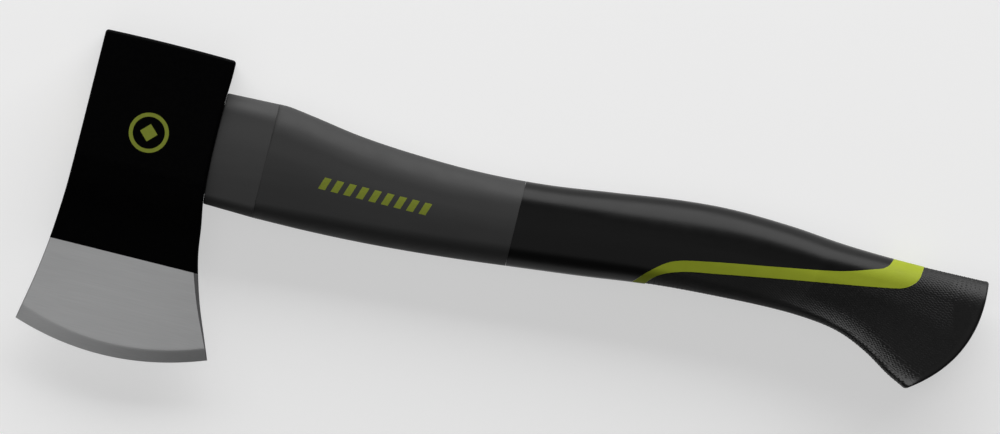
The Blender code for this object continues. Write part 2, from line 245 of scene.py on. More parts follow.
ACCENT_UPPER = (
    (0.240, -0.0165),
    (0.265, -0.0112),
    (0.300, -0.0046),
    (0.340, 0.0006),
    (0.410, 0.0037),
    (0.560, 0.0083),
    (0.690, 0.0125),
    (0.760, 0.0164),
    (0.782, 0.0182),
    (0.793, 0.0218),
    (0.797, 0.0290),
)
ACCENT_LOWER = (
    (0.277, -0.0165),
    (0.295, -0.0100),
    (0.320, -0.0056),
    (0.365, -0.0023),
    (0.430, -0.0001),
    (0.600, 0.0050),
    (0.664, 0.0068),
    (0.731, 0.0087),
    (0.797, 0.0107),
    (0.826, 0.0119),
    (0.840, 0.0133),
    (0.850, 0.0150),
    (0.855, 0.0166),
    (0.858, 0.0188),
    (0.862, 0.0290),
)

# The handle's corner between its side and its back, in arcs: (degrees it turns to, radius as a share of the
# corner, steps). The turns below are in degrees: the side is crowned above 0 and dished below it.
CORNER_ARCS = ((40.0, 0.85, 8), (66.0, 1.3, 6), (84.0, 0.9, 5))
SIDE_TURN = 6.0
FLARE_TURN = -3.0
LEAST_TURN = 0.02
LIP_START = 1.0
LIP_TURN = -42.0
LIP_HEIGHT = 0.0060
CORNER_SHRINK = 0.8
LEAST_BACK = 0.16

# How finely the shapes are divided, and the angles in degrees past which an edge is drawn sharp.
SIDE_STEPS = 8
LIP_STEPS = 4
BACK_STEPS = 4
CORNER_STEPS = 8
EYE_CORNER_STEPS = 14
EYE_FLAT_STEPS = 10
HEAD_FLAT_STEPS = 36
HEAD_RINGS = 26
SHAFT_RINGS = 80
GRIP_RINGS = 140
TANG_RINGS = 34
ACCENT_STEPS = 120
HALVINGS = 30
SHARP_ANGLE = 35
BLADE_SHARP_ANGLE = 20

# Stage: the floor, the world, two soft lamps aimed at the tool's middle and the camera over it.
FLOOR_REACH = 6.0
FLOOR_DROP = 0.0002
FLOOR_GLOW = 0.50
WORLD_STRENGTH = 0.06
TOOL_MIDDLE = Vector((0.12, 0.0, 0.0))
KEY_OFFSET = Vector((-0.3, 2.20, 0.76))
KEY_SIZE = (5.0, 2.0)
KEY_POWER = 132.0
OVERHEAD_OFFSET = Vector((-0.30, -0.25, 1.80))
OVERHEAD_SIZE = (1.6, 1.6)
OVERHEAD_POWER = 4.0
VIEW_WIDTH = 0.3785
VIEW_PLACE = (0.1367, 0.0012, 1.0)
VIEW_TURN = math.radians(14.0)


# Shapes.


def smooth(stations, at):
    """The height at one place of a smooth curve through the stations, level with its neighbours at each."""
    places = [station[0] for station in stations]
    heights = [station[1] for station in stations]
    last = len(places) - 1
    slopes = []
    for i in range(last + 1):
        before = max(i - 1, 0)
        after = min(i + 1, last)
        slopes.append((heights[after] - heights[before]) / (places[after] - places[before]))
    at = min(max(at, places[0]), places[last])
    i = 0
    while i < last - 1 and at > places[i + 1]:
        i += 1
    span = places[i + 1] - places[i]
    t = (at - places[i]) / span
    rise = heights[i + 1] - heights[i]
    bend = (1 - t) * (slopes[i] * span - rise) - t * (slopes[i + 1] * span - rise)
    return heights[i] + t * rise + t * (1 - t) * bend


def ease(low, high, at):
    t = min(max((at - low) / (high - low), 0.0), 1.0)
    return t * t * (3 - 2 * t)


def shares(start, end, steps):
    return [start + (end - start) * step / steps for step in range(steps + 1)]


def rounded_section(
    half_height,
    half_width,
    plus_radius,
    minus_radius,
    flat_steps=1,
    corner_steps=CORNER_STEPS,
    plus_facet=False,
):
    """Points (v, z) round a rectangle; its corners at +v and at -v have radii of their own.

    The corners at +v are flat facets instead where plus_facet is true.
    """
    most = 0.98 * min(half_height, half_width)
    corners = ((1, 1, plus_radius), (-1, 1, minus_radius), (-1, -1, minus_radius), (1, -1, plus_radius))
    points = []
    for turn, (v_side, z_side, radius) in enumerate(corners):
        radius = min(radius, most)
        v_middle = v_side * (half_height - radius)
        z_middle = z_side * (half_width - radius)
        for step in range(corner_steps + 1):
            share = step / corner_steps
            angle = math.radians(90) * (turn + share)
            point = (v_middle + radius * math.cos(angle), z_middle + radius * math.sin(angle))
            if plus_facet and v_side > 0:
                inward = share if z_side > 0 else 1 - share
                point = (
                    half_height - radius * inward,
                    z_side * (half_width - FACET_SLOPE * radius * (1 - inward)),
                )
            points.append(point)
        if turn in (0, 2):
            start = points[-1]
            end_v = -v_side * (half_height - min(corners[turn + 1][2], most))
            for step in range(1, flat_steps):
                points.append((start[0] + (end_v - start[0]) * step / flat_steps, start[1]))
    return points


def resampled(points, count):
    """As many points as asked for, evenly spaced along a closed outline, from its first point."""
    ends = points[1:] + points[:1]
    lengths = [math.dist(one, other) for one, other in zip(points, ends)]
    step = sum(lengths) / count
    evenly = []
    i = 0
    passed = 0.0
    for k in range(count):
        while passed + lengths[i] < k * step:
            passed += lengths[i]
            i += 1
        t = (k * step - passed) / lengths[i]
        evenly.append(tuple(a + t * (b - a) for a, b in zip(points[i], ends[i])))
    return evenly


def add_cap(shape, row):
    """Rungs across an end, from each point to the one opposite it, which keep the end's bulge."""
    last = len(row) - 1
    for i in range(len(row) // 2 - 1):
        shape.faces.new((row[i], row[i + 1], row[last - i - 1], row[last - i]))


def new_piece(name, shape, material):
    bmesh.ops.recalc_face_normals(shape, faces=shape.faces)
    mesh = bpy.data.meshes.new(name)
    shape.to_mesh(mesh)
    shape.free()
    item = bpy.data.objects.new(name, mesh)
    if material:
        mesh.materials.append(material)
    bpy.context.scene.collection.objects.link(item)
    shade(item)
    return item


def shade(item, sharp=SHARP_ANGLE):
    item.data.shade_smooth()
    item.data.set_sharp_from_angle(angle=math.radians(sharp))


def loft(name, rings, material=None, is_loop=False):
    """A skin over rings of points, closed by a cap at each end or, for a loop, back to the first ring."""
    shape = bmesh.new()
    rows = [[shape.verts.new(point) for point in ring] for ring in rings]
    pairs = list(zip(rows, rows[1:]))
    if is_loop:
        pairs.append((rows[-1], rows[0]))
    else:
        add_cap(shape, rows[0])
        add_cap(shape, rows[-1])
    for one, other in pairs:
        for i in range(len(one)):
            j = (i + 1) % len(one)
            shape.faces.new((one[i], one[j], other[j], other[i]))
    return new_piece(name, shape, material)


def plate(name, outline, low, high):
    """A flat outline, seen along Z, with straight sides from one height to another."""
    shape = bmesh.new()
    bottom = [shape.verts.new((x, y, low)) for x, y in outline]
    top = [shape.verts.new((x, y, high)) for x, y in outline]
    shape.faces.new(bottom[::-1])
    shape.faces.new(top)
    for i in range(len(outline)):
        j = (i + 1) % len(outline)
        shape.faces.new((bottom[i], bottom[j], top[j], top[i]))
    return new_piece(name, shape, None)


def combined(item, *steps):
    """The piece with each Boolean step applied: (operation, tool)."""
    for operation, tool in steps:
        modifier = item.modifiers.new(tool.name, "BOOLEAN")
        modifier.operation = operation
        modifier.solver = "EXACT"
        modifier.object = tool
    bpy.context.view_layer.update()
    evaluated = item.evaluated_get(bpy.context.evaluated_depsgraph_get())
    mesh = bpy.data.meshes.new_from_object(evaluated)
    item.modifiers.clear()
    item.data = mesh
    shade(item)
    return item


# Head.


def heel_x(y):
    return HEAD_HALF_LENGTH + smooth(HEEL_SIDE, (POLL_HEIGHT - y) / (POLL_HEIGHT + HEEL_DEPTH))


def toe_x(y):
    return -HEAD_HALF_LENGTH - smooth(TOE_SIDE, (POLL_HEIGHT - y) / (POLL_HEIGHT + TOE_DEPTH))


def head_ring(toe_y, heel_y, sag, half_thickness, toe_radius, heel_radius, inset=0.0, facet=False):
    """A section across the head from its toe side to its heel side, whose middle hangs sag lower."""
    toe = toe_x(toe_y) + inset
    heel = heel_x(heel_y) - inset
    middle = (toe + heel) / 2
    half = (heel - toe) / 2
    ring = []
    section = rounded_section(
        half, half_thickness - inset, heel_radius, toe_radius, HEAD_FLAT_STEPS, plus_facet=facet
    )
    for v, z in section:
        across = v / half
        y = (toe_y + heel_y) / 2 + across * (heel_y - toe_y) / 2 - sag * (1 - across**2)
        ring.append((middle + v, y, MIDDLE + z))
    return ring


def poll_ring(y, inset=0.0):
    """A section of the poll, whose top is crowned a little from side to side."""
    crown = POLL_CROWN * ease(POLL_HEIGHT - POLL_CROWN_DEPTH, POLL_HEIGHT, y)
    ring = head_ring(y, y, 0.0, CHEEK_HALF, HEAD_EDGE_RADIUS, HEAD_EDGE_RADIUS, inset)
    return [(x, at - crown * (x / HEAD_HALF_LENGTH) ** 2, z) for x, at, z in ring]


def painted_rings():
    rings = []
    for turn in range(0, 91, 15):
        inset = POLL_CHAMFER * (1 - math.sin(math.radians(turn)))
        drop = POLL_CHAMFER * (1 - math.cos(math.radians(turn)))
        rings.append(poll_ring(POLL_HEIGHT - drop, inset))
    for y in shares(POLL_HEIGHT - 1.6 * POLL_CHAMFER, -0.9 * CHEEK_DEPTH, HEAD_RINGS):
        rings.append(poll_ring(y))
    for share in shares(0.0, 1.0, HEAD_RINGS):
        depth = CHEEK_DEPTH + share * (PAINT_DEPTH - CHEEK_DEPTH)
        toe_radius = HEAD_EDGE_RADIUS + share * (TOE_RADIUS - HEAD_EDGE_RADIUS)
        heel_radius = HEAD_EDGE_RADIUS + share * (HEEL_RADIUS - HEAD_EDGE_RADIUS)
        rings.append(head_ring(-depth, -depth, 0.0, smooth(CHEEK, depth), toe_radius, heel_radius))
    return rings


def ground_rings():
    """The bare blade: a long ground face from the paint line, then the bevel down to the edge."""
    bevel_toe = BEVEL_AT_TOE - TOE_DEPTH
    bevel_heel = BEVEL_AT_HEEL - HEEL_DEPTH
    rings = []
    for share in (0.0, 0.02, 0.1, 0.2, 0.3, 0.4, 0.5, 0.6, 0.7, 0.8, 0.9, 0.97, 0.995):
        toe_y = -PAINT_DEPTH + share * (PAINT_DEPTH + bevel_toe)
        heel_y = -PAINT_DEPTH + share * (PAINT_DEPTH + bevel_heel)
        half = PAINT_HALF_THICKNESS + share * (BEVEL_HALF_THICKNESS - PAINT_HALF_THICKNESS)
        facet = HEEL_RADIUS + share * (FACET_AT_BEVEL - HEEL_RADIUS)
        rings.append(blade_ring(toe_y, heel_y, share * EDGE_SAG, half - PAINT_FILM, facet))
    for share in (0.03, 0.2, 0.4, 0.6, 0.8, 0.95, 1.0):
        toe_y = bevel_toe - share * BEVEL_AT_TOE
        heel_y = bevel_heel - share * BEVEL_AT_HEEL
        half = BEVEL_HALF_THICKNESS - PAINT_FILM
        half += share * (EDGE_HALF_THICKNESS - half)
        rings.append(blade_ring(toe_y, heel_y, EDGE_SAG, half, FACET_AT_BEVEL))
    return rings


def blade_ring(toe_y, heel_y, sag, half_thickness, facet):
    return head_ring(toe_y, heel_y, sag, half_thickness, TOE_RADIUS, facet, facet=True)


# Eye.


def eye_oval(margin, count=96):
    half_width = HEAD_THICKNESS / 2 - CHEEK_WALL - margin
    half_height = EYE_HEIGHT / 2 - margin
    oval = rounded_section(
        half_height, half_width, half_width, half_width, EYE_FLAT_STEPS, EYE_CORNER_STEPS
    )
    half = 2 * EYE_CORNER_STEPS + EYE_FLAT_STEPS + 1
    start = oval[half:] + oval[:half]
    return resampled(start, count) if count != len(oval) else oval


def flat_ring(points, x):
    return [(x, v, MIDDLE + z) for v, z in points]


def seated_ring(points, depth):
    """A section whose points follow the head's underside, at a depth beyond it along +X."""
    return [(heel_x(v) + depth, v, MIDDLE + z) for v, z in points]


def eye_flare(x):
    return EYE_FLARE * max(0.0, (EYE_FLARE_LENGTH - HEAD_HALF_LENGTH - x) / EYE_FLARE_LENGTH)


def eye_cutter():
    """The eye's oval, flared and chamfered towards the toe side."""
    rim = EYE_CHAMFER - HEAD_HALF_LENGTH
    outside = -EYE_CHAMFER - HEAD_HALF_LENGTH
    rings = [
        flat_ring(eye_oval(-eye_flare(outside) - 2 * EYE_CHAMFER), outside),
        flat_ring(eye_oval(-eye_flare(rim)), rim),
        flat_ring(eye_oval(0.0), EYE_FLARE_LENGTH - HEAD_HALF_LENGTH),
        flat_ring(eye_oval(0.0), HEAD_HALF_LENGTH + 2 * EYE_FLARE),
    ]
    return loft("eye_cutter", rings)


def epoxy_rings():
    """The ring of epoxy, whose face at the toe side creeps up both walls."""
    start = EPOXY_SINK - HEAD_HALF_LENGTH
    rings = []
    for share in shares(0.0, 1.0, 6):
        margin = GAP + share * EPOXY_WALL - eye_flare(start) * (1 - share)
        rings.append(flat_ring(eye_oval(margin), start + 4 * MENISCUS * share * (1 - share)))
    inner = eye_oval(GAP + EPOXY_WALL)
    rings.append(seated_ring(inner, 0.0))
    rings.append(seated_ring(eye_oval(GAP), 0.0))
    rings.append(flat_ring(eye_oval(GAP), EYE_FLARE_LENGTH - HEAD_HALF_LENGTH))
    return rings


def dam_rings():
    inner = eye_oval(TONGUE_MARGIN - GAP)
    outer = eye_oval(TONGUE_MARGIN - GAP - DAM_WIDTH)
    return [
        seated_ring(outer, GAP),
        seated_ring(outer, GAP + DAM_THICKNESS),
        seated_ring(inner, GAP + DAM_THICKNESS),
        seated_ring(inner, GAP),
    ]


# Handle.


def share_at(x):
    return (x - CREASE) / (BUTT - CREASE)


def quarter_section(height, width, corner, side_turn=SIDE_TURN, lip_turn=SIDE_TURN + LIP_START):
    """Points (v, z) from the middle of the side to the middle of the back, which is at v = height.

    The side is crowned, or dished where its turn is negative, and it may end in a raised lip. The
    corner follows in three arcs.
    """
    lip_height = min(LIP_HEIGHT, (height - corner) / 2)
    side_sine = math.sin(math.radians(side_turn))
    lip_sine = math.sin(math.radians(lip_turn))
    arcs = [(side_turn, (height - corner - lip_height) / side_sine, SIDE_STEPS)]
    arcs.append((lip_turn, lip_height / (lip_sine - side_sine), LIP_STEPS))
    arcs += [(turn, share * corner, steps) for turn, share, steps in CORNER_ARCS]
    points = [(0.0, 0.0)]
    before = 0.0
    for turn, radius, steps in arcs:
        v, z = points[-1]
        for step in range(1, steps + 1):
            angle = before + (turn - before) * step / steps
            rise = math.sin(math.radians(angle)) - math.sin(math.radians(before))
            fall = math.cos(math.radians(before)) - math.cos(math.radians(angle))
            points.append((v + radius * rise, z + radius * fall))
        before = turn
    side_v, side_z = points[SIDE_STEPS + LIP_STEPS]
    corner_v, corner_z = points[-1]
    back_half = max(LEAST_BACK * width, width - corner_z)
    stretch = corner / (corner_v - side_v)
    squeeze = (width - back_half - side_z) / (corner_z - side_z)
    shaped = [(v, width - z) for v, z in points[: SIDE_STEPS + LIP_STEPS + 1]]
    for v, z in points[SIDE_STEPS + LIP_STEPS + 1 :]:
        shaped.append((side_v + (v - side_v) * stretch, width - side_z - (z - side_z) * squeeze))
    for step in range(1, BACK_STEPS + 1):
        share = step / BACK_STEPS
        shaped.append((height, back_half * (1 - share)))
    return shaped


def handle_outline(half_height, half_width, back_corner, belly_corner, flare):
    """Points (v, z) round the handle, from the middle of its back over its +Z side to its belly and on.

    As flare goes from 0 to 1, the belly's half of the side turns from crowned to dished and its lip rises.
    A turn of exactly 0 would have no radius, so the least turn stands in for it.
    """
    belly_turn = SIDE_TURN + flare * (FLARE_TURN - SIDE_TURN)
    if abs(belly_turn) < LEAST_TURN:
        belly_turn = LEAST_TURN
    lip_turn = belly_turn + LIP_START + flare * (LIP_TURN - FLARE_TURN - LIP_START)
    if abs(lip_turn - belly_turn) < LEAST_TURN:
        lip_turn = belly_turn + LEAST_TURN
    lower = quarter_section(half_height, half_width, belly_corner, belly_turn, lip_turn)
    dish = max(z for _, z in lower) - half_width
    lower = quarter_section(half_height, half_width - dish, belly_corner, belly_turn, lip_turn)
    upper = quarter_section(half_height, half_width - dish, back_corner)
    one_side = upper[::-1] + [(-v, z) for v, z in lower[1:]]
    other_side = [(v, -z) for v, z in one_side[-2:0:-1]]
    return one_side + other_side


def bumpy(outline, row, depth):
    """The outline with staggered bumps: between them its points are pushed in."""
    points = []
    count = len(outline)
    for i, (v, z) in enumerate(outline):
        v_before, z_before = outline[i - 1]
        v_after, z_after = outline[(i + 1) % count]
        along = Vector((v_after - v_before, z_after - z_before)).normalized()
        wave = math.cos(2 * math.pi * i / STEPS_ACROSS_BUMP) * math.cos(math.pi * row)
        push = depth * (1 - wave) / 2
        points.append((v - push * along.y, z + push * along.x))
    return points


def handle_section(share, inset=0.0, advance=0.0, parting=0.0, texture=None, corners=None):
    """A section of the handle, smaller by an inset; towards the butt it leans and bulges with it."""
    back_x = CREASE + share * (BUTT - CREASE)
    belly_x = back_x - BUTT_SLANT * ease(SLANT_START, 1.0, share)
    belly_share = (belly_x - CREASE) / (BUTT - BUTT_SLANT - CREASE)
    back = Vector((back_x, smooth(BACK, share)))
    belly = Vector((belly_x, smooth(BELLY, belly_share)))
    middle = (back + belly) / 2
    up = (back - belly).normalized()
    along = Vector((up.y, -up.x))
    half = (back - belly).length / 2
    half_width = HEAD_THICKNESS / 2 - smooth(INSETS, share)
    bulge = BUTT_BULGE * ease(share_at(BUTT - TANG_STOP), 1.0, share)
    back_corner, belly_corner = corners or (smooth(BACK_CORNERS, share), smooth(BELLY_CORNERS, share))
    outline = handle_outline(
        half - inset,
        half_width - inset,
        back_corner - CORNER_SHRINK * inset,
        belly_corner - CORNER_SHRINK * inset,
        ease(FLARE_START, FLARE_END, share),
    )
    if parting:
        opposite = len(outline) // 2
        outline[0] = (outline[0][0] + parting, 0.0)
        outline[opposite] = (outline[opposite][0] - parting, 0.0)
    if texture:
        outline = bumpy(resampled(outline, BUMPS_AROUND * STEPS_ACROSS_BUMP), *texture)
    points = []
    for v, z in outline:
        at = middle + v * up + (advance + bulge * (1 - (v / half) ** 2)) * along
        points.append((at.x, at.y, MIDDLE + z))
    return points


def tang_shares():
    return shares(share_at(GRIP_START), share_at(BUTT - TANG_STOP), TANG_RINGS)


def collar_rings():
    """The collar: a rounded edge against the head, then its length, then a step down to the shaft."""
    rings = []
    for turn in (0, 22, 45, 67, 90):
        inset = COLLAR_TAPER + COLLAR_EDGE * (1 - math.sin(math.radians(turn)))
        rise = COLLAR_EDGE * (1 - math.cos(math.radians(turn)))
        collar = [(y, z - MIDDLE) for _, y, z in handle_section(0.0, inset, corners=COLLAR_CORNERS)]
        rings.append(seated_ring(collar, SEAM + rise))
    seated = rings[-1]
    end = handle_section(0.0, corners=COLLAR_CORNERS)
    for share in (0.25, 0.5, 0.75, 0.98, 1.0):
        rings.append([Vector(a).lerp(Vector(b), share) for a, b in zip(seated, end)])
    return rings


def shaft_step(share):
    """How far the shaft lies under the collar's surface, which fades out along it."""
    return COLLAR_STEP * (1 - ease(0.0, STEP_FADE, share))


def jacket_rings():
    count = len(handle_section(0.0))
    tongue = eye_oval(TONGUE_MARGIN, count)
    recess = eye_oval(TONGUE_MARGIN - 2 * GAP - DAM_WIDTH, count)
    recess_depth = DAM_THICKNESS + 2 * GAP
    rings = [
        flat_ring(tongue, TONGUE_SINK - HEAD_HALF_LENGTH),
        seated_ring(tongue, recess_depth),
        seated_ring(recess, recess_depth),
        seated_ring(recess, SEAM),
    ]
    rings += collar_rings()
    for share in shares(share_at(CREASE + COLLAR_STEP), share_at(GRIP_START - SEAM), SHAFT_RINGS):
        rings.append(handle_section(share, shaft_step(share), parting=PARTING_LINE))
    rings += [handle_section(share, GRIP_WALL) for share in tang_shares()]
    return rings


def rim_rings(texture=None):
    rings = []
    for turn in (0, 15, 30, 45, 60, 75, 90):
        inset = BUTT_RIM * (1 - math.cos(math.radians(turn)))
        rim_start = BUTT_RIM * (1 - math.sin(math.radians(turn)))
        rings.append(handle_section(share_at(BUTT - rim_start), inset, texture=texture))
    return rings


def plain_grip_rings():
    places = shares(share_at(GRIP_START), share_at(BUTT - BUTT_RIM), GRIP_RINGS)
    return [handle_section(share, parting=PARTING_LINE) for share in places[:-1]] + rim_rings()


def texture_places(first, last):
    """Shares from first to last, evenly spaced between the skin's edges and its bulging middle."""

    def reach(share):
        return share * (BUTT - CREASE) + BUTT_BULGE / 2 * ease(share_at(BUTT - TANG_STOP), 1.0, share)

    steps = round((reach(last) - reach(first)) / TEXTURE_ROW * RINGS_ACROSS_ROW)
    places = []
    for target in shares(reach(first), reach(last), steps):
        low, high = first, last
        for _ in range(HALVINGS):
            middle = (low + high) / 2
            low, high = (middle, high) if reach(middle) < target else (low, middle)
        places.append(high)
    return places


def textured_grip_rings():
    """The lower grip's skin, covered with small staggered bumps that fade out before the butt's rim."""
    start = GRIP_START + TEXTURE_START * GRIP_LENGTH
    end = BUTT - BUTT_RIM
    rings = []
    for i, share in enumerate(texture_places(share_at(start), share_at(end))[:-1]):
        fade = 1 - ease(share_at(end - 2 * TEXTURE_ROW), share_at(end), share)
        rings.append(handle_section(share, texture=(i / RINGS_ACROSS_ROW, TEXTURE_DEPTH * fade)))
    return rings + rim_rings(texture=(0.0, 0.0))


def grip_cavity():
    """The tang's room inside the grip, open at the grip's front face."""
    places = tang_shares()
    start = [(x - 10 * GAP, y, z) for x, y, z in handle_section(places[0], GRIP_WALL - GAP)]
    rings = [start] + [handle_section(share, GRIP_WALL - GAP) for share in places]
    rings.append(handle_section(places[-1], GRIP_WALL - GAP, GAP))
    return loft("grip_cavity", rings)


def accent_edge(stations, margin):
    """One edge of the accent loop, seen along Z, moved sideways by a margin towards the back.

    Its points lie closest together at its steep end.
    """
    points = []
    for share in shares(0.0, 1.0, ACCENT_STEPS):
        place = stations[0][0] + (stations[-1][0] - stations[0][0]) * (1 - (1 - share) ** 2)
        points.append(Vector((GRIP_START + place * GRIP_LENGTH, smooth(stations, place))))
    moved = []
    for i, point in enumerate(points):
        along = points[min(i + 1, ACCENT_STEPS)] - points[max(i - 1, 0)]
        moved.append(point + margin * Vector((-along.y, along.x)).normalized())
    return moved


def grip_regions():
    """Three upright plates that share the grip out: its upper part, its accent loop and its lower part."""
    reach = 4 * HEAD_THICKNESS
    left = GRIP_START - reach
    right = BUTT + reach
    upper_edge = accent_edge(ACCENT_UPPER, ACCENT_SEAM / 2)
    lower_edge = accent_edge(ACCENT_LOWER, -ACCENT_SEAM / 2)
    accent_edges = accent_edge(ACCENT_UPPER, -ACCENT_SEAM / 2)
    accent_edges += accent_edge(ACCENT_LOWER, ACCENT_SEAM / 2)[::-1]
    upper_outline = [(left, -reach), (upper_edge[0].x, -reach)]
    upper_outline += [tuple(point) for point in upper_edge]
    upper_outline += [(upper_edge[-1].x, reach), (left, reach)]
    lower_outline = [(right, reach), (lower_edge[-1].x, reach)]
    lower_outline += [tuple(point) for point in lower_edge[::-1]]
    lower_outline += [(lower_edge[0].x, -reach), (right, -reach)]
    accent_outline = [tuple(point) for point in accent_edges]
    outlines = {"upper": upper_outline, "accent": accent_outline, "lower": lower_outline}
    low = -HEAD_THICKNESS
    high = 2 * HEAD_THICKNESS
    return {name: plate(name + "_region", outline, low, high) for name, outline in outlines.items()}


def core_bar(name, margin, material=None):
    """The core's flat bar, or its bore when the margin is a clearance."""
    half_width = HEAD_THICKNESS / 2 - CHEEK_WALL - TONGUE_MARGIN - TONGUE_WALL - GAP + margin
    section = rounded_section(CORE_HEIGHT / 2 + margin, half_width, half_width, half_width, 6, 12)
    start = TONGUE_SINK - HEAD_HALF_LENGTH - BORE_OVERSHOOT * margin
    turn = Matrix.Translation((0.0, -CORE_DROP, MIDDLE)) @ Matrix.Rotation(CORE_TILT, 4, "Z")
    rings = [[turn @ Vector((x, v, z)) for v, z in section] for x in (start, CORE_END + margin)]
    return loft(name, rings, material)


# Prints.


def ink_film(name, place, surface, material, u_steps, v_steps, is_ring=False):
    """A film of ink on the top side: a grid of points (x, y) = place(u, v) laid on a surface z(x, y)."""
    shape = bmesh.new()
    layers = []
    for height in (INK, -PRINT_SINK):
        grid = []
        for i in range(u_steps + (0 if is_ring else 1)):
            row = []
            for j in range(v_steps + 1):
                x, y = place(i / u_steps, j / v_steps)
                row.append(shape.verts.new((x, y, surface(x, y) + height)))
            grid.append(row)
        layers.append(grid)
    rows = len(layers[0])
    spans = range(rows if is_ring else rows - 1)
    for grid in layers:
        for i in spans:
            k = (i + 1) % rows
            for j in range(v_steps):
                shape.faces.new((grid[i][j], grid[k][j], grid[k][j + 1], grid[i][j + 1]))
    top, bottom = layers
    for i in spans:
        k = (i + 1) % rows
        for j in (0, v_steps):
            shape.faces.new((top[i][j], top[k][j], bottom[k][j], bottom[i][j]))
    if not is_ring:
        for i in (0, rows - 1):
            for j in range(v_steps):
                shape.faces.new((top[i][j], top[i][j + 1], bottom[i][j + 1], bottom[i][j]))
    return new_piece(name, shape, material)


def cheek_surface(x, y):
    return MIDDLE + CHEEK_HALF


def side_surface(x, y):
    """The height of the shaft's crowned side at a place seen along Z."""
    points = handle_section(share_at(x), shaft_step(share_at(x)))
    side = [(py, pz) for _, py, pz in points if pz > MIDDLE]
    for (y_above, z_above), (y_below, z_below) in zip(side, side[1:]):
        if y_below <= y <= y_above:
            return z_below + (z_above - z_below) * (y - y_below) / (y_above - y_below)
    return side[0][1]


def ring_place(u, v):
    radius = RING_RADIUS - v * RING_WIDTH
    return radius * math.cos(2 * math.pi * u), radius * math.sin(2 * math.pi * u)


def diamond_place(u, v):
    a = DIAMOND_RADIUS * (2 * u - 1)
    b = DIAMOND_RADIUS * (2 * v - 1)
    return (a - b) / 2, (a + b) / 2


def bar_place(number):
    start = BARS_START + number * BAR_PITCH

    def place(u, v):
        return start + u * BAR_WIDTH + v * BAR_SLANT, BARS_BOTTOM + v * (BARS_TOP - BARS_BOTTOM)

    return place


# Materials.


def new_material(name, colour, roughness, **sockets):
    """A Principled material; further sockets are named with _ for a space."""
    material = bpy.data.materials.new(name)
    material.use_nodes = True
    shader = material.node_tree.nodes["Principled BSDF"]
    shader.inputs["Base Color"].default_value = (*colour, 1.0)
    shader.inputs["Roughness"].default_value = roughness
    for socket, value in sockets.items():
        shader.inputs[socket.replace("_", " ")].default_value = value
    material.diffuse_color = (*colour, 1.0)
    return material


def shader_of(material):
    return material.node_tree.nodes["Principled BSDF"]


def noise(material, size, detail=2.0, stretch=(1.0, 1.0, 1.0)):
    """A cloudy pattern with lumps of this size, in metres, drawn out along each axis by stretch."""
    tree = material.node_tree
    place = tree.nodes.new("ShaderNodeTexCoord")
    scale = tree.nodes.new("ShaderNodeMapping")
    scale.inputs["Scale"].default_value = [1 / (size * part) for part in stretch]
    texture = tree.nodes.new("ShaderNodeTexNoise")
    texture.inputs["Scale"].default_value = 1.0
    texture.inputs["Detail"].default_value = detail
    tree.links.new(place.outputs["Object"], scale.inputs["Vector"])
    tree.links.new(scale.outputs["Vector"], texture.inputs["Vector"])
    return texture.outputs["Fac"]


def cells(material, size):
    tree = material.node_tree
    place = tree.nodes.new("ShaderNodeTexCoord")
    texture = tree.nodes.new("ShaderNodeTexVoronoi")
    texture.inputs["Scale"].default_value = 1 / size
    tree.links.new(place.outputs["Object"], texture.inputs["Vector"])
    return texture.outputs["Distance"]


def vary_colour(material, factor, low, high, spread=0.2):
    """The base colour runs from low to high with the factor."""
    tree = material.node_tree
    ramp = tree.nodes.new("ShaderNodeValToRGB")
    ramp.color_ramp.elements[0].position = 0.5 - spread
    ramp.color_ramp.elements[0].color = (*low, 1.0)
    ramp.color_ramp.elements[1].position = 0.5 + spread
    ramp.color_ramp.elements[1].color = (*high, 1.0)
    tree.links.new(factor, ramp.inputs["Fac"])
    tree.links.new(ramp.outputs["Color"], shader_of(material).inputs["Base Color"])


def paint_light_before(material, x, gain):
    """Painted light: the base colour is brighter by the gain on the side of x that is nearer the head,
    standing in for the light that side catches.
    """
    tree = material.node_tree
    place = tree.nodes.new("ShaderNodeTexCoord")
    split = tree.nodes.new("ShaderNodeSeparateXYZ")
    remap = tree.nodes.new("ShaderNodeMapRange")
    remap.inputs["From Min"].default_value = x - COLLAR_STEP
    remap.inputs["From Max"].default_value = x + COLLAR_STEP
    remap.inputs["To Min"].default_value = gain
    remap.inputs["To Max"].default_value = 1.0
    scaled = tree.nodes.new("ShaderNodeVectorMath")
    scaled.operation = "SCALE"
    base = shader_of(material).inputs["Base Color"]
    tree.links.new(place.outputs["Object"], split.inputs["Vector"])
    tree.links.new(split.outputs["X"], remap.inputs["Value"])
    tree.links.new(base.links[0].from_socket, scaled.inputs[0])
    tree.links.new(remap.outputs["Result"], scaled.inputs["Scale"])
    tree.links.new(scaled.outputs["Vector"], base)


def vary_roughness(material, factor, low, high, spread=0.2):
    tree = material.node_tree
    remap = tree.nodes.new("ShaderNodeMapRange")
    remap.inputs["From Min"].default_value = 0.5 - spread
    remap.inputs["From Max"].default_value = 0.5 + spread
    remap.inputs["To Min"].default_value = low
    remap.inputs["To Max"].default_value = high
    tree.links.new(factor, remap.inputs["Value"])
    tree.links.new(remap.outputs["Result"], shader_of(material).inputs["Roughness"])


def add_bump(material, factor, height, strength=1.0):
    """Relief of this height, in metres, on top of any that the material has."""
    tree = material.node_tree
    bump = tree.nodes.new("ShaderNodeBump")
    bump.inputs["Distance"].default_value = height
    bump.inputs["Strength"].default_value = strength
    normal = shader_of(material).inputs["Normal"]
    if normal.links:
        tree.links.new(normal.links[0].from_socket, bump.inputs["Normal"])
    tree.links.new(factor, bump.inputs["Height"])
    tree.links.new(bump.outputs["Normal"], normal)


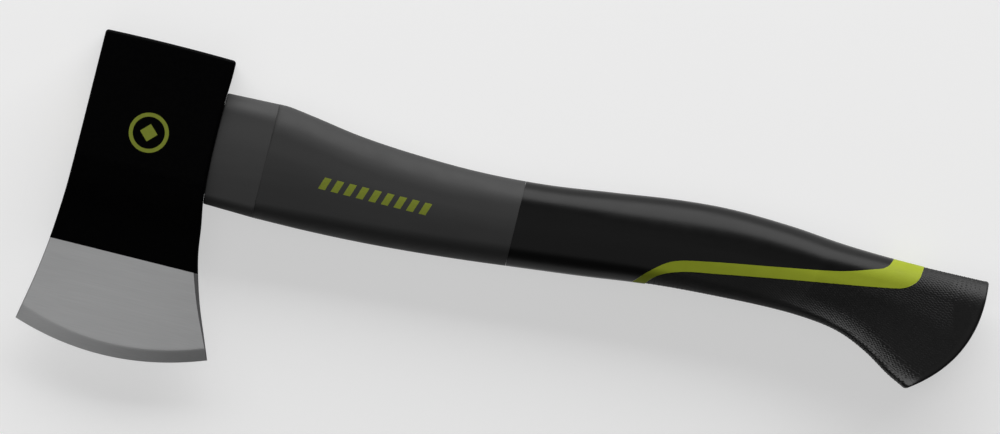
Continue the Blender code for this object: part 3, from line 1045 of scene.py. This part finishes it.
def head_paint():
    """Black enamel on forged steel: nearly no colour, a slight orange peel and a few dull patches."""
    material = new_material("head_paint", (0.0004, 0.0004, 0.0005), 0.5, Specular_IOR_Level=0.03)
    vary_colour(material, noise(material, 0.0016, 4.0), (0.0002, 0.0002, 0.0003), (0.0007, 0.0007, 0.0008))
    vary_roughness(material, noise(material, 0.012, 3.0), 0.47, 0.53)
    add_bump(material, noise(material, 0.0009, 2.0), 0.00003)
    add_bump(material, noise(material, 0.0060, 1.0), 0.00010)
    return material


def ground_steel():
    """Steel ground along the edge: fine lines, with bands that are a little duller."""
    material = new_material("ground_steel", (0.55, 0.55, 0.56), 0.36, Metallic=1.0)
    lines = noise(material, 0.00022, 3.0, (90.0, 1.0, 1.0))
    vary_colour(material, lines, (0.55, 0.553, 0.556), (0.62, 0.623, 0.626), 0.3)
    vary_roughness(material, noise(material, 0.0030, 3.0, (12.0, 1.0, 1.0)), 0.345, 0.375)
    add_bump(material, lines, 0.000004)
    return material


def cured_epoxy():
    material = new_material("epoxy", (0.12, 0.085, 0.03), 0.22, Coat_Weight=0.4)
    vary_colour(material, noise(material, 0.004, 3.0), (0.09, 0.060, 0.018), (0.17, 0.125, 0.045))
    vary_roughness(material, noise(material, 0.002), 0.16, 0.34)
    add_bump(material, noise(material, 0.0015), 0.00005)
    return material


def dam_rubber():
    material = new_material("dam_rubber", (0.012, 0.012, 0.012), 0.85)
    vary_colour(material, cells(material, 0.0006), (0.006, 0.006, 0.006), (0.022, 0.022, 0.022), 0.4)
    vary_roughness(material, noise(material, 0.001), 0.8, 0.95)
    add_bump(material, cells(material, 0.0006), 0.00012)
    return material


def fibreglass():
    """Pultruded rod: strands along its length, which show as fine dots on its cut end."""
    material = new_material("fibreglass", (0.55, 0.50, 0.32), 0.45)
    strands = noise(material, 0.00035, 2.0, (60.0, 1.0, 1.0))
    vary_colour(material, strands, (0.34, 0.29, 0.14), (0.72, 0.68, 0.50), 0.25)
    vary_roughness(material, strands, 0.35, 0.6)
    add_bump(material, strands, 0.00005)
    return material


def jacket_plastic():
    """Glass-filled nylon: dark grey with a fine spark-eroded grain and faint flow marks."""
    material = new_material("jacket_plastic", (0.042, 0.042, 0.042), 0.5, Specular_IOR_Level=0.18)
    flow = noise(material, 0.0040, 4.0, (6.0, 1.0, 1.0))
    vary_colour(material, flow, (0.040, 0.040, 0.040), (0.044, 0.044, 0.044), 0.3)
    # Painted light: the collar, on the head's side of the crease, is painted brighter, standing in for the
    # light its tilted side catches.
    paint_light_before(material, CREASE, 1.24)
    vary_roughness(material, noise(material, 0.0080, 4.0), 0.46, 0.56)
    add_bump(material, noise(material, 0.00035, 2.0), 0.000012)
    add_bump(material, noise(material, 0.0070, 1.0, (5.0, 1.0, 1.0)), 0.00006)
    return material


def grip_rubber():
    """Soft black rubber with a powdery bloom."""
    material = new_material("grip_rubber", (0.0042, 0.0042, 0.0042), 0.31, Specular_IOR_Level=0.19)
    vary_colour(material, noise(material, 0.010, 5.0), (0.0038, 0.0038, 0.0038), (0.0046, 0.0046, 0.0046))
    vary_roughness(material, noise(material, 0.0050, 4.0), 0.29, 0.33)
    add_bump(material, noise(material, 0.00045, 2.0), 0.000012)
    return material


def textured_rubber():
    """The same rubber on the bumps, with small random patches a little paler and darker."""
    material = new_material("textured_rubber", (0.0030, 0.0030, 0.0030), 0.40, Specular_IOR_Level=0.30)
    vary_colour(material, noise(material, 0.0012, 4.0), (0.0024, 0.0024, 0.0024), (0.0040, 0.0040, 0.0040))
    vary_roughness(material, noise(material, 0.0030, 4.0), 0.36, 0.44)
    add_bump(material, noise(material, 0.00030, 2.0), 0.00003)
    return material


def accent_rubber():
    material = new_material("accent_rubber", (0.305, 0.362, 0.022), 0.58, Specular_IOR_Level=0.15)
    vary_colour(material, noise(material, 0.008, 4.0), (0.295, 0.350, 0.020), (0.315, 0.374, 0.024))
    vary_roughness(material, noise(material, 0.0040, 3.0), 0.52, 0.64)
    add_bump(material, noise(material, 0.00045, 2.0), 0.000012)
    return material


def print_ink():
    material = new_material("print_lime", (0.21, 0.25, 0.025), 0.6, Specular_IOR_Level=0.25)
    vary_colour(material, noise(material, 0.0006, 4.0), (0.19, 0.225, 0.022), (0.23, 0.275, 0.028), 0.3)
    vary_roughness(material, noise(material, 0.0010), 0.5, 0.7)
    add_bump(material, noise(material, 0.00025), 0.00001)
    return material


def floor_material():
    """Pale paper: a little brighter to the camera than it is as a source of bounced light."""
    material = new_material("floor", (0.52, 0.52, 0.52), 0.9, Specular_IOR_Level=0.1)
    tree = material.node_tree
    shader = shader_of(material)
    rays = tree.nodes.new("ShaderNodeLightPath")
    seen = tree.nodes.new("ShaderNodeMath")
    seen.operation = "MAXIMUM"
    tree.links.new(rays.outputs["Is Camera Ray"], seen.inputs[0])
    tree.links.new(rays.outputs["Is Glossy Ray"], seen.inputs[1])
    through = tree.nodes.new("ShaderNodeMath")
    through.operation = "MAXIMUM"
    tree.links.new(seen.outputs["Value"], through.inputs[0])
    tree.links.new(rays.outputs["Is Transmission Ray"], through.inputs[1])
    glow = tree.nodes.new("ShaderNodeMath")
    glow.operation = "MULTIPLY"
    glow.inputs[1].default_value = FLOOR_GLOW
    tree.links.new(through.outputs["Value"], glow.inputs[0])
    tree.links.new(glow.outputs["Value"], shader.inputs["Emission Strength"])
    shader.inputs["Emission Color"].default_value = (1.0, 1.0, 1.0, 1.0)
    return material


# Assembly.


def place_piece(piece, slot, *nodes):
    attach(piece, "root")
    if nodes:
        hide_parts(*nodes)


def make_head():
    cutter = eye_cutter()
    painted = combined(loft("head_painted", painted_rings(), head_paint()), ("DIFFERENCE", cutter))
    bpy.data.objects.remove(cutter)
    place_piece(painted, "head_paint", "axe_head")
    ground = loft("head_ground", ground_rings(), ground_steel())
    shade(ground, BLADE_SHARP_ANGLE)
    place_piece(ground, "ground_steel", "axe_head")


def make_eye_fill():
    epoxy = loft("epoxy_fill", epoxy_rings(), cured_epoxy(), is_loop=True)
    place_piece(epoxy, "epoxy", "eye_epoxy")
    dam = loft("foam_dam", dam_rings(), dam_rubber(), is_loop=True)
    place_piece(dam, "dam_rubber", "epoxy_dam")


def make_handle():
    core = core_bar("core_bar", 0.0, fibreglass())
    place_piece(core, "fibreglass", "fibreglass_core")
    bore = core_bar("core_bore", GAP)
    jacket = combined(loft("jacket", jacket_rings(), jacket_plastic()), ("DIFFERENCE", bore))
    bpy.data.objects.remove(bore)
    place_piece(jacket, "jacket_plastic", "shaft_jacket")


def make_grip():
    cavity = grip_cavity()
    regions = grip_regions()
    skins = {
        "upper": (plain_grip_rings, grip_rubber, "grip_rubber", "grip_upper"),
        "accent": (plain_grip_rings, accent_rubber, "accent_rubber", "grip_accent"),
        "lower": (textured_grip_rings, textured_rubber, "grip_rubber", "grip_lower"),
    }
    for part, (rings, material, slot, node) in skins.items():
        skin = loft("grip_skin_" + part, rings(), material())
        piece = combined(skin, ("DIFFERENCE", cavity), ("INTERSECT", regions[part]))
        place_piece(piece, slot, node)
    for cutter in [cavity, *regions.values()]:
        bpy.data.objects.remove(cutter)


def make_prints():
    ink = print_ink()
    ring = ink_film("head_ring_print", ring_place, cheek_surface, ink, 72, 2, is_ring=True)
    place_piece(ring, "print_lime")
    diamond = ink_film("head_diamond_print", diamond_place, cheek_surface, ink, 4, 4)
    place_piece(diamond, "print_lime")
    for number in range(BAR_COUNT):
        bar = ink_film(f"shaft_bar_print_{number + 1}", bar_place(number), side_surface, ink, 4, 8)
        place_piece(bar, "print_lime")


# Stage.


def make_floor():
    shape = bmesh.new()
    ends = (-FLOOR_REACH, FLOOR_REACH)
    corners = [(ends[0], ends[0]), (ends[1], ends[0]), (ends[1], ends[1]), (ends[0], ends[1])]
    shape.faces.new([shape.verts.new((x, y, -FLOOR_DROP)) for x, y in corners])
    floor = new_piece("floor", shape, floor_material())


def make_world():
    world = bpy.data.worlds.new("studio")
    bpy.context.scene.world = world
    world.use_nodes = True
    sky = world.node_tree.nodes["Background"]
    sky.inputs["Color"].default_value = (1.0, 1.0, 1.0, 1.0)
    sky.inputs["Strength"].default_value = WORLD_STRENGTH


def add_softbox(name, offset, size, power):
    lamp = bpy.data.lights.new(name, "AREA")
    lamp.shape = "RECTANGLE"
    lamp.size, lamp.size_y = size
    lamp.energy = power
    item = bpy.data.objects.new(name, lamp)
    item.location = TOOL_MIDDLE + offset
    item.rotation_euler = (TOOL_MIDDLE - item.location).to_track_quat("-Z", "Y").to_euler()
    item.visible_camera = False
    bpy.context.scene.collection.objects.link(item)


def make_lights():
    add_softbox("key", KEY_OFFSET, KEY_SIZE, KEY_POWER)
    add_softbox("overhead", OVERHEAD_OFFSET, OVERHEAD_SIZE, OVERHEAD_POWER)


def make_camera():
    camera = bpy.data.cameras.new("camera")
    camera.type = "ORTHO"
    camera.ortho_scale = VIEW_WIDTH
    camera.clip_end = 10.0
    item = bpy.data.objects.new("camera", camera)
    item.location = VIEW_PLACE
    item.rotation_euler = (0.0, 0.0, VIEW_TURN)
    bpy.context.scene.collection.objects.link(item)
    bpy.context.scene.camera = item


make_head()
make_eye_fill()
make_handle()
make_grip()
make_prints()
make_floor()
make_world()
make_lights()
make_camera()
bpy.context.scene.view_settings.view_transform = "Standard"

bpy.context.view_layer.update()
